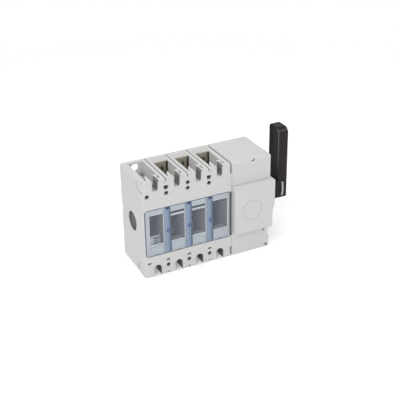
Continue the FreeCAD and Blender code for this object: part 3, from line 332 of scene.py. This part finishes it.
metalLooks = {
    "tinned_copper": {"light": paint(226, 221, 200), "dark": paint(150, 140, 116),
                      "deep": paint(84, 74, 60), "reach": 0.016, "roughness": 0.45, "edge": 0.0004},
    "copper": {"light": paint(198, 146, 118), "dark": paint(150, 100, 80), "deep": paint(70, 46, 38),
               "reach": 0.006, "roughness": 0.36, "edge": 0.0003},
    "bright_steel": {"light": paint(188, 188, 184), "dark": paint(146, 146, 143), "deep": paint(70, 70, 70),
                     "reach": 0.003, "roughness": 0.34, "edge": 0.0002},
    "spring_steel": {"light": paint(150, 150, 152), "dark": paint(110, 110, 113), "deep": paint(58, 58, 60),
                     "reach": 0.002, "roughness": 0.3, "edge": 0.0002},
    "chute_steel": {"light": paint(132, 128, 124), "dark": paint(92, 88, 86), "deep": paint(46, 44, 43),
                    "reach": 0.004, "roughness": 0.5, "edge": 0.0001},
    "frame_steel": {"light": paint(188, 187, 176), "dark": paint(152, 151, 140), "deep": paint(78, 77, 72),
                    "reach": 0.008, "roughness": 0.4, "edge": 0.0003},
    "window_screws": {"light": paint(132, 150, 184), "dark": paint(92, 110, 150),
                      "deep": paint(48, 62, 100), "reach": 0.002, "roughness": 0.36, "edge": 0.0002},
    "bush_bronze": {"light": paint(190, 152, 96), "dark": paint(146, 112, 66), "deep": paint(72, 56, 34),
                    "reach": 0.003, "roughness": 0.5, "edge": 0.0002},
}


metalGrain = {"streak": 1800.0, "streakStretch": 0.08, "patch": 120.0, "streakShare": 0.45,
              "patchShare": 0.75, "toneShift": 0.1, "patchRough": 0.3, "streakRough": 0.1,
              "bump": 0.12, "bumpDepth": 0.00005, "metallic": 0.9}


def workedMetal(name, looks):
    # drawn or stamped metal: streaks along its length, dull patches of oxide, painted shade in the corners
    material, sheet = newSurface(name)
    place = sheet.node("ShaderNodeTexCoord", {}, {}, "Object")
    stretched = sheet.node("ShaderNodeMapping", {},
                           {"Vector": place, "Scale": (1.0, 1.0, metalGrain["streakStretch"])})
    streak = noise(sheet, stretched, metalGrain["streak"], 3.0)
    patch = noise(sheet, place, metalGrain["patch"], 4.0, 0.6)
    tone = streak * metalGrain["streakShare"] + patch * metalGrain["patchShare"] - metalGrain["toneShift"]
    clean = between(sheet, tone, looks["dark"], looks["light"])
    # painted shade: darker where neighbouring parts close in
    colour = between(sheet, openness(sheet, looks["reach"], False), looks["deep"], clean)
    rough = looks["roughness"] + (patch - 0.5) * metalGrain["patchRough"]
    rough = rough + (streak - 0.5) * metalGrain["streakRough"]
    normal = bumpOn(sheet, streak, metalGrain["bump"], metalGrain["bumpDepth"],
                    softEdges(sheet, looks["edge"]))
    finishWith(sheet, {"Base Color": colour, "Roughness": rough, "Normal": normal,
                       "Metallic": metalGrain["metallic"]})
    return material


# zones of the clear window, each laid over those above it; "cover" is how solid it looks
windowLooks = {
    "frame": {"tone": paint(209, 217, 225), "cover": 0.72},
    "bar": {"tone": paint(168, 184, 202), "cover": 0.66},
    # painted highlight along each bar
    "glint": {"tone": paint(160, 180, 206), "cover": 0.74},
    # painted refraction shade, darkest at the bar's right edge
    "stripe": {"tone": paint(144, 166, 194), "cover": 0.75},
    "barEnd": {"tone": paint(112, 126, 148), "cover": 0.78},
    "pane": {"tone": paint(184, 194, 212), "cover": 0.13},
    "band": {"tone": paint(104, 118, 129), "cover": 0.55},
    "bandFoot": {"tone": paint(208, 216, 224), "cover": 0.78},
    # painted shade: in the notches at the top, in the screw wells, along the border, and in the gap at the
    # window's right
    "notch": {"tone": paint(74, 92, 134), "cover": 0.85},
    "screwWell": {"tone": paint(66, 88, 142), "cover": 0.90},
    "border": {"tone": paint(112, 126, 150), "cover": 0.85},
    "joint": {"tone": paint(66, 74, 92), "cover": 0.92},
    "paneHalf": 0.0117, "lastPaneHalf": 0.014, "paneLow": -0.026, "paneHigh": 0.025,
    "glintStart": 0.0158, "stripeStart": 0.0180, "stripeEnd": 0.0208,
    "notchStart": 0.0155, "notchEnd": 0.0215, "notchLow": 0.0290,
    "bandHalf": 0.035, "bandLow": 0.0175, "bandHigh": 0.0196, "borderWidth": 0.0009, "shadowGapWidth": 0.0017,
    "screwShift": 0.0193, "screwHeight": -0.0065, "wellRadius": 0.0033, "edge": 0.0004,
    "roughness": 0.10, "cloud": 60.0, "cloudRough": 0.08, "cloudCover": 0.05, "shine": 0.45,
}


def clearPlastic(name, looks):
    # one clear moulding: thin panes show little, thick bars gather a blue tint, with a painted highlight
    # and a painted refraction shade darkest at their right edge; painted shade marks its notches, screw
    # wells, border and the gap at its right
    material, sheet = newSurface(name)
    place = sheet.node("ShaderNodeTexCoord", {}, {}, "Object")
    along = sheet.node("ShaderNodeSeparateXYZ", {}, {"Vector": place}, "X")
    up = along.other("Z")
    last = -firstPole
    past = along.maths("FLOORED_MODULO", along - firstPole, pitch)
    fromPole = past.maths("MINIMUM", past, pitch - past)
    isLast = (along > last) * (along < last + looks["lastPaneHalf"])
    beside = past.maths("MAXIMUM", fromPole < looks["paneHalf"], isLast)
    inBar = (1.0 - beside) * (along > firstPole) * (along < last)
    inPane = beside * (up > looks["paneLow"]) * (up < looks["paneHigh"])
    inBand = inPane * (along > -looks["bandHalf"]) * (along < looks["bandHalf"]) * (up > looks["bandLow"])
    low, high = windowBox
    fromSide = along.maths("MINIMUM", along - low[0], high[0] - along)
    fromTop = up.maths("MINIMUM", up - low[2], high[2] - up)
    screwX = past - looks["screwShift"]
    screwZ = up - looks["screwHeight"]
    fromScrew = (screwX * screwX + screwZ * screwZ) ** 0.5
    inNotch = inBar * (up > looks["notchLow"]) * (past > looks["notchStart"]) * (past < looks["notchEnd"])
    zones = [
        ("bar", inBar),
        # painted highlight and painted refraction shade on the bars
        ("glint", inBar * (past > looks["glintStart"]) * (past < looks["stripeStart"])),
        ("stripe", inBar * (past > looks["stripeStart"]) * (past < looks["stripeEnd"])),
        ("barEnd", inBar * (past > looks["stripeEnd"])),
        ("pane", inPane),
        ("band", inBand),
        ("bandFoot", inBand * (up < looks["bandHigh"])),
        # painted shade in the notches, the screw wells, along the border and in the gap at the right
        ("notch", inNotch),
        ("screwWell", inBar * (fromScrew < looks["wellRadius"])),
        ("border", fromSide.maths("MINIMUM", fromSide, fromTop) < looks["borderWidth"]),
        ("joint", (fromSide < looks["shadowGapWidth"]) * (along > 0.0)),
    ]
    cloud = noise(sheet, place, looks["cloud"], 2.0)
    colour = looks["frame"]["tone"]
    cover = looks["frame"]["cover"]
    for zone, share in zones:
        colour = between(sheet, share, colour, looks[zone]["tone"])
        cover = cover * (1.0 - share) + share * looks[zone]["cover"]
    finishWith(sheet, {"Base Color": colour, "Roughness": looks["roughness"] + cloud * looks["cloudRough"],
                       "Alpha": cover + (cloud - 0.5) * looks["cloudCover"],
                       "Normal": softEdges(sheet, looks["edge"]), "Specular IOR Level": looks["shine"]})
    return material


rimTones = {
    # pane rims: a painted highlight, and a painted shadow where a bar shades them
    "pane": {"tone": paint(236, 242, 248), "shadow": paint(104, 118, 140), "cover": 0.85},
    "foot": {"tone": paint(112, 128, 156), "shadow": paint(112, 128, 156), "cover": 0.8},
}
rimSkin = {"pale": paint(250, 252, 254), "cloud": 90.0, "roughness": 0.1, "cloudRough": 0.1,
           "cloudCover": 0.1, "shadowReach": 0.0006}


def clearRim(name, looks):
    # the rounded rims of the window: the pane rims carry a painted highlight and, where a bar shades them,
    # a painted shadow; the foot rims gather more tint than the flats
    material, sheet = newSurface(name)
    place = sheet.node("ShaderNodeTexCoord", {}, {}, "Object")
    cloud = noise(sheet, place, rimSkin["cloud"], 2.0)
    along = sheet.node("ShaderNodeSeparateXYZ", {}, {"Vector": place}, "X")
    past = along.maths("FLOORED_MODULO", along - firstPole, pitch)
    shadowEnd = pitch - windowLooks["paneHalf"] + rimSkin["shadowReach"]
    # painted shadow beside each bar
    byBar = (past > pitch / 2) * (past < shadowEnd) * (along > firstPole)
    # painted highlight, broken by a faint cloud
    lightTone = between(sheet, cloud, looks["tone"], rimSkin["pale"])
    tone = between(sheet, byBar, lightTone, looks["shadow"])
    rough = rimSkin["roughness"] + cloud * rimSkin["cloudRough"]
    finishWith(sheet, {"Base Color": tone, "Roughness": rough,
                       "Alpha": looks["cover"] + (cloud - 0.5) * rimSkin["cloudCover"]})
    return material


cardLooks = {"paper": paint(214, 217, 221), "shade": paint(192, 196, 202), "print": paint(74, 79, 89),
             "printStart": -0.0567, "fibre": 900.0, "fibreStretch": 0.4, "cloud": 80.0, "fibreShare": 0.6,
             "cloudShare": 0.4, "roughness": 0.7, "fibreRough": 0.2, "bump": 0.2, "bumpDepth": 0.00005,
             "edge": 0.0001}


def cardPaper(name, looks):
    # matt card with a faint fibre; its right part carries a grey printed field
    material, sheet = newSurface(name)
    place = sheet.node("ShaderNodeTexCoord", {}, {}, "Object")
    along = sheet.node("ShaderNodeSeparateXYZ", {}, {"Vector": place}, "X")
    drawn = sheet.node("ShaderNodeMapping", {},
                       {"Vector": place, "Scale": (1.0, 1.0, looks["fibreStretch"])})
    fibres = noise(sheet, drawn, looks["fibre"], 4.0, 0.7)
    cloud = noise(sheet, place, looks["cloud"], 2.0)
    tone = fibres * looks["fibreShare"] + cloud * looks["cloudShare"]
    blank = between(sheet, tone, looks["shade"], looks["paper"])
    colour = between(sheet, along > looks["printStart"], blank, looks["print"])
    rough = looks["roughness"] + (fibres - 0.5) * looks["fibreRough"]
    normal = bumpOn(sheet, fibres, looks["bump"], looks["bumpDepth"], softEdges(sheet, looks["edge"]))
    finishWith(sheet, {"Base Color": colour, "Roughness": rough, "Normal": normal})
    return material


def makeFinishes():
    made = {}
    for slotName, looks in plasticLooks.items():
        made[slotName] = mouldedPlastic(slotName + "Skin", looks)
    for slotName, looks in metalLooks.items():
        made[slotName] = workedMetal(slotName + "Skin", looks)
    made["window"] = clearPlastic("windowSkin", windowLooks)
    made["card"] = cardPaper("cardSkin", cardLooks)
    return made


finishes = makeFinishes()
for part in frame["record"]["subparts"]:
    mesh = nodes[part["node"]].data
    mesh.materials.clear()
    mesh.materials.append(finishes.get(part["node"], finishes[part["material_slot"]]))
print("finishes on", len(nodes), "nodes")


# Geometry Nodes pieces: a tree with named inputs is drawn, run once and kept as a plain mesh

socketKinds = {float: "NodeSocketFloat", int: "NodeSocketInt", bpy.types.Material: "NodeSocketMaterial"}


def growMesh(name, draw, values, places):
    tree = bpy.data.node_groups.new(name + "Tree", "GeometryNodeTree")
    tree.interface.new_socket("places", in_out="INPUT", socket_type="NodeSocketGeometry")
    for label, value in values.items():
        tree.interface.new_socket(label, in_out="INPUT", socket_type=socketKinds[type(value)])
    tree.interface.new_socket("mesh", in_out="OUTPUT", socket_type="NodeSocketGeometry")
    sheet = Sheet(tree)
    given = sheet.node("NodeGroupInput")
    shape = draw(sheet, {label: given.other(label) for label in values})
    copies = sheet.node("GeometryNodeInstanceOnPoints", {},
                        {"Points": given.other("places"), "Instance": shape})
    real = sheet.node("GeometryNodeRealizeInstances", {}, {"Geometry": copies})
    smooth = sheet.node("GeometryNodeSetShadeSmooth", {}, {"Geometry": real})
    dressed = sheet.node("GeometryNodeSetMaterial", {},
                         {"Geometry": smooth, "Material": given.other("finish")})
    sheet.node("NodeGroupOutput", {}, {"mesh": dressed})
    dots = bpy.data.meshes.new(name + "Places")
    dots.from_pydata(places, [], [])
    holder = bpy.data.objects.new(name + "Holder", dots)
    bpy.context.scene.collection.objects.link(holder)
    modifier = holder.modifiers.new("grow", "NODES")
    modifier.node_group = tree
    for item in tree.interface.items_tree:
        if item.in_out == "INPUT" and item.name in values:
            modifier[item.identifier] = values[item.name]
    grown = holder.evaluated_get(bpy.context.evaluated_depsgraph_get())
    mesh = bpy.data.meshes.new_from_object(grown)
    holder.modifiers.remove(modifier)
    bpy.data.objects.remove(holder)
    mesh.name = name
    piece = bpy.data.objects.new(name, mesh)
    bpy.context.scene.collection.objects.link(piece)
    return piece


def drawSpring(sheet, given):
    # one wire: an eye round the anchor bar, a close coil, and an eye round the crank pin;
    # the points of each stretch are told apart by their numbers, with half a step of room
    index = sheet.node("GeometryNodeInputIndex")
    ring = given["ringPoints"]
    coil = given["turns"] * given["turnPoints"]
    isTop = index < ring + 0.5
    isLow = index > ring + coil + 1.5
    isCoil = 1.0 - isTop - isLow
    topTurn = clamped(sheet, index / ring) * given["eyeSweep"] + given["topStart"]
    lowTurn = clamped(sheet, (index - ring - coil - 2) / ring) * given["eyeSweep"] + given["lowStart"]
    share = clamped(sheet, (index - ring - 1) / coil)
    coilTurn = share * given["turns"] * (2 * pi)
    across = isCoil * given["coilRadius"] * coilTurn.maths("SINE", coilTurn)
    outward = isTop * given["topRadius"] * topTurn.maths("SINE", topTurn)
    outward = outward + isCoil * given["coilRadius"] * coilTurn.maths("COSINE", coilTurn)
    outward = outward + isLow * given["lowRadius"] * lowTurn.maths("SINE", lowTurn)
    upward = isTop * given["topRadius"] * topTurn.maths("COSINE", topTurn)
    upward = upward + isCoil * (given["coilTop"] + (given["coilLow"] - given["coilTop"]) * share)
    upward = upward + isLow * (given["lowHeight"] + given["lowRadius"] * lowTurn.maths("COSINE", lowTurn))
    dots = sheet.node("GeometryNodeMeshLine", {}, {"Count": ring * 2 + coil + 3})
    path = sheet.node("ShaderNodeCombineXYZ", {}, {"X": across, "Y": outward, "Z": upward})
    bent = sheet.node("GeometryNodeSetPosition", {}, {"Geometry": dots, "Position": path})
    line = sheet.node("GeometryNodeMeshToCurve", {}, {"Mesh": bent})
    section = sheet.node("GeometryNodeCurvePrimitiveCircle", {},
                         {"Resolution": given["sides"], "Radius": given["wireRadius"]})
    wire = sheet.node("GeometryNodeCurveToMesh", {},
                      {"Curve": line, "Profile Curve": section, "Fill Caps": True})
    tilt = sheet.node("ShaderNodeCombineXYZ", {}, {"X": given["tilt"]})
    return sheet.node("GeometryNodeTransform", {}, {"Geometry": wire, "Rotation": tilt})


def roundedOutline(sheet, given):
    outline = sheet.node("GeometryNodeCurvePrimitiveQuadrilateral", {},
                         {"Width": given["width"], "Height": given["height"]})
    return sheet.node("GeometryNodeFilletCurve", {"mode": "POLY"},
                      {"Curve": outline, "Count": given["cornerSteps"], "Radius": given["corner"]})


def drawRim(sheet, given):
    # a half-sunk round bead along a rectangle with rounded corners
    rounded = roundedOutline(sheet, given)
    section = sheet.node("GeometryNodeCurvePrimitiveCircle", {},
                         {"Resolution": given["sides"], "Radius": given["bead"]})
    rim = sheet.node("GeometryNodeCurveToMesh", {}, {"Curve": rounded, "Profile Curve": section})
    return sheet.node("GeometryNodeTransform", {}, {"Geometry": rim, "Rotation": (pi / 2, 0.0, 0.0)})


def drawMark(sheet, given):
    # a thin printed mark, a rounded bar lying on the card
    rounded = roundedOutline(sheet, given)
    face = sheet.node("GeometryNodeFillCurve", {}, {"Curve": rounded})
    solid = sheet.node("GeometryNodeExtrudeMesh", {}, {"Mesh": face, "Offset Scale": given["thickness"]})
    back = sheet.node("GeometryNodeFlipFaces", {}, {"Mesh": face})
    both = sheet.node("GeometryNodeJoinGeometry", {}, {"Geometry": [solid, back]})
    return sheet.node("GeometryNodeTransform", {}, {"Geometry": both, "Rotation": (pi / 2, 0.0, 0.0)})


springLooks = {"turns": 9, "turnPoints": 16, "ringPoints": 22, "coilRadius": 0.0035, "topRadius": 0.00338,
               "lowRadius": 0.0058, "coilTop": -0.00718, "coilLow": -0.02158, "lowHeight": -0.04458,
               "eyeSweep": radians(300), "topStart": radians(-210), "lowStart": radians(90),
               "wireRadius": 0.0008, "sides": 10, "tilt": radians(-10.338),
               "finish": finishes["spring_steel"]}
springHalfGap = 0.005
anchor = middleOf("spring_anchor")
springMiddle = middleOf("toggle_springs").x
springPlaces = [(springMiddle + side * springHalfGap, anchor.y, anchor.z) for side in (-1, 1)]

springs = growMesh("coiledSprings", drawSpring, springLooks, springPlaces)
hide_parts("toggle_springs")
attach(springs, "spring_pair")
print("springs wound")


rimLooks = {"corner": 0.0011, "bead": 0.0004, "sides": 10, "cornerSteps": 5}
rimFinishes = {name: clearRim(name + "RimSkin", looks) for name, looks in rimTones.items()}
rimSunk = 0.00008  # how far the middle of a bead lies behind the window's front
rimFront = windowBox[0][1] + rimSunk
rimWidths = {"narrow": 0.0230, "wide": 0.0253}  # the last pane is the wide one
poleMiddles = [firstPole + pitch * number for number in range(3)]
wideMiddle = [0.05365]
rimShapes = {
    "open": {"finish": "pane", "height": 0.0504, "up": -0.0005},
    "banded": {"finish": "pane", "height": 0.0432, "up": -0.0041},
    "band": {"finish": "pane", "height": 0.0051, "up": 0.02215},
    "foot": {"finish": "foot", "height": 0.0130, "up": -0.0349},
}
rimGroups = {
    "openPaneRim": ("open", "narrow", poleMiddles[:1]),
    "bandedPaneRims": ("banded", "narrow", poleMiddles[1:]),
    "bandRims": ("band", "narrow", poleMiddles[1:]),
    "widePaneRim": ("open", "wide", wideMiddle),
    "footRims": ("foot", "narrow", poleMiddles),
    "wideFootRim": ("foot", "wide", wideMiddle),
}

for name, (shapeName, widthName, middles) in rimGroups.items():
    shape = rimShapes[shapeName]
    values = dict(rimLooks, width=rimWidths[widthName], height=shape["height"],
                  finish=rimFinishes[shape["finish"]])
    rim = growMesh(name, drawRim, values, [(x, rimFront, shape["up"]) for x in middles])
    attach(rim, "switch_body")
print("rims round the panes")


markLooks = {"width": 0.0021, "height": 0.0014, "corner": 0.0003, "cornerSteps": 4,
             "thickness": 0.00006}
markGap = 0.00001
markColumns = [-0.0548, -0.0515, -0.0482]
markRows = [-0.0217, -0.0185]


def printedMarks():
    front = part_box("label_card")[0][1] - markGap
    values = dict(markLooks, finish=finishes["holder_plastic"])
    places = [(x, front, z) for x in markColumns for z in markRows]
    marks = growMesh("cardMarks", drawMark, values, places)
    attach(marks, "switch_body")


printedMarks()
print("marks on the card")


stageLooks = {"floorSize": 6.0, "floor": paint(250, 250, 250), "floorCloud": paint(253, 253, 253),
              "cloud": 3.0, "floorGlow": 0.3, "fadeStart": 0.3, "fadeWidth": 0.9, "skyLight": 0.45,
              "lampAim": (0.05, -0.04, 0.0)}

lampLooks = {
    "keyLamp": {"place": (-1.3, -1.3, 1.4), "size": 1.3, "power": 19.0},
    "fillLamp": {"place": (1.6, -1.2, 0.8), "size": 1.6, "power": 6.0},
    "topLamp": {"place": (0.1, 0.2, 1.8), "size": 1.4, "power": 8.5},
}

cameraLooks = {"place": (-0.4972, -1.1220, 0.6310), "azimuth": -26.42, "elevation": 27.31, "roll": -0.863,
               "lens": 79.07, "sensor": 36.0}


def seenDirectly(sheet):
    # 1 for what the camera, a mirror or glass looks at, 0 for light that falls on things
    path = sheet.node("ShaderNodeLightPath", {}, {}, "Is Camera Ray")
    seen = path + path.other("Is Glossy Ray") + path.other("Is Transmission Ray")
    return seen.maths("MINIMUM", seen, 1.0)


def makeFloor():
    half = stageLooks["floorSize"] / 2
    low = cadBox[0][2]
    mesh = bpy.data.meshes.new("studioFloor")
    corners = [(-half, -half, low), (half, -half, low), (half, half, low), (-half, half, low)]
    mesh.from_pydata(corners, [], [(0, 1, 2, 3)])
    floor = bpy.data.objects.new("studioFloor", mesh)
    bpy.context.scene.collection.objects.link(floor)
    material, sheet = newSurface("floorPaper")
    place = sheet.node("ShaderNodeTexCoord", {}, {}, "Object")
    shade = noise(sheet, place, stageLooks["cloud"], 2.0)
    colour = between(sheet, shade, stageLooks["floor"], stageLooks["floorCloud"])
    paper = sheet.node("ShaderNodeBsdfDiffuse", {}, {"Color": colour})
    seen = seenDirectly(sheet)
    glow = sheet.node("ShaderNodeEmission", {},
                      {"Color": (1, 1, 1, 1), "Strength": seen * stageLooks["floorGlow"]})
    near = sheet.node("ShaderNodeAddShader", {}, {0: paper, 1: glow})
    far = sheet.node("ShaderNodeEmission", {}, {"Color": (1, 1, 1, 1), "Strength": 1.0})
    reach = sheet.node("ShaderNodeVectorMath", {"operation": "LENGTH"}, {0: place}, "Value")
    fade = clamped(sheet, (reach - stageLooks["fadeStart"]) / stageLooks["fadeWidth"]) * seen
    both = sheet.node("ShaderNodeMixShader", {}, {0: fade, 1: near, 2: far})
    sheet.node("ShaderNodeOutputMaterial", {}, {"Surface": both})
    mesh.materials.append(material)


def makeSky():
    world = bpy.data.worlds.new("studioSky")
    world.use_nodes = True
    bpy.context.scene.world = world
    sheet = Sheet(world.node_tree)
    light = sheet.node("ShaderNodeBackground", {},
                       {"Color": (1, 1, 1, 1), "Strength": stageLooks["skyLight"]})
    white = sheet.node("ShaderNodeBackground", {}, {"Color": (1, 1, 1, 1), "Strength": 1.0})
    both = sheet.node("ShaderNodeMixShader", {}, {0: seenDirectly(sheet), 1: light, 2: white})
    sheet.node("ShaderNodeOutputWorld", {}, {"Surface": both})


def makeLamps():
    for name, looks in lampLooks.items():
        lamp = bpy.data.lights.new(name, "AREA")
        lamp.size = looks["size"]
        lamp.energy = looks["power"]
        holder = bpy.data.objects.new(name, lamp)
        bpy.context.scene.collection.objects.link(holder)
        holder.location = looks["place"]
        aim = Vector(stageLooks["lampAim"]) - Vector(looks["place"])
        holder.rotation_euler = aim.to_track_quat("-Z", "Y").to_euler()


def makeCamera():
    azimuth = radians(cameraLooks["azimuth"])
    elevation = radians(cameraLooks["elevation"])
    roll = radians(cameraLooks["roll"])
    back = Vector((sin(azimuth) * cos(elevation), -cos(azimuth) * cos(elevation), sin(elevation)))
    right = (-back).cross(Vector((0, 0, 1))).normalized()
    up = right.cross(-back)
    rolledRight = right * cos(roll) + up * sin(roll)
    rolledUp = up * cos(roll) - right * sin(roll)
    lens = bpy.data.cameras.new("photoCamera")
    lens.lens = cameraLooks["lens"]
    lens.sensor_width = cameraLooks["sensor"]
    lens.sensor_fit = "HORIZONTAL"
    camera = bpy.data.objects.new("photoCamera", lens)
    bpy.context.scene.collection.objects.link(camera)
    turn = Matrix((rolledRight, rolledUp, back)).transposed().to_4x4()
    camera.matrix_world = Matrix.Translation(cameraLooks["place"]) @ turn
    bpy.context.scene.camera = camera


makeFloor()
makeSky()
makeLamps()
makeCamera()
bpy.context.scene.view_settings.view_transform = "Standard"
print("stage, lamps and camera")
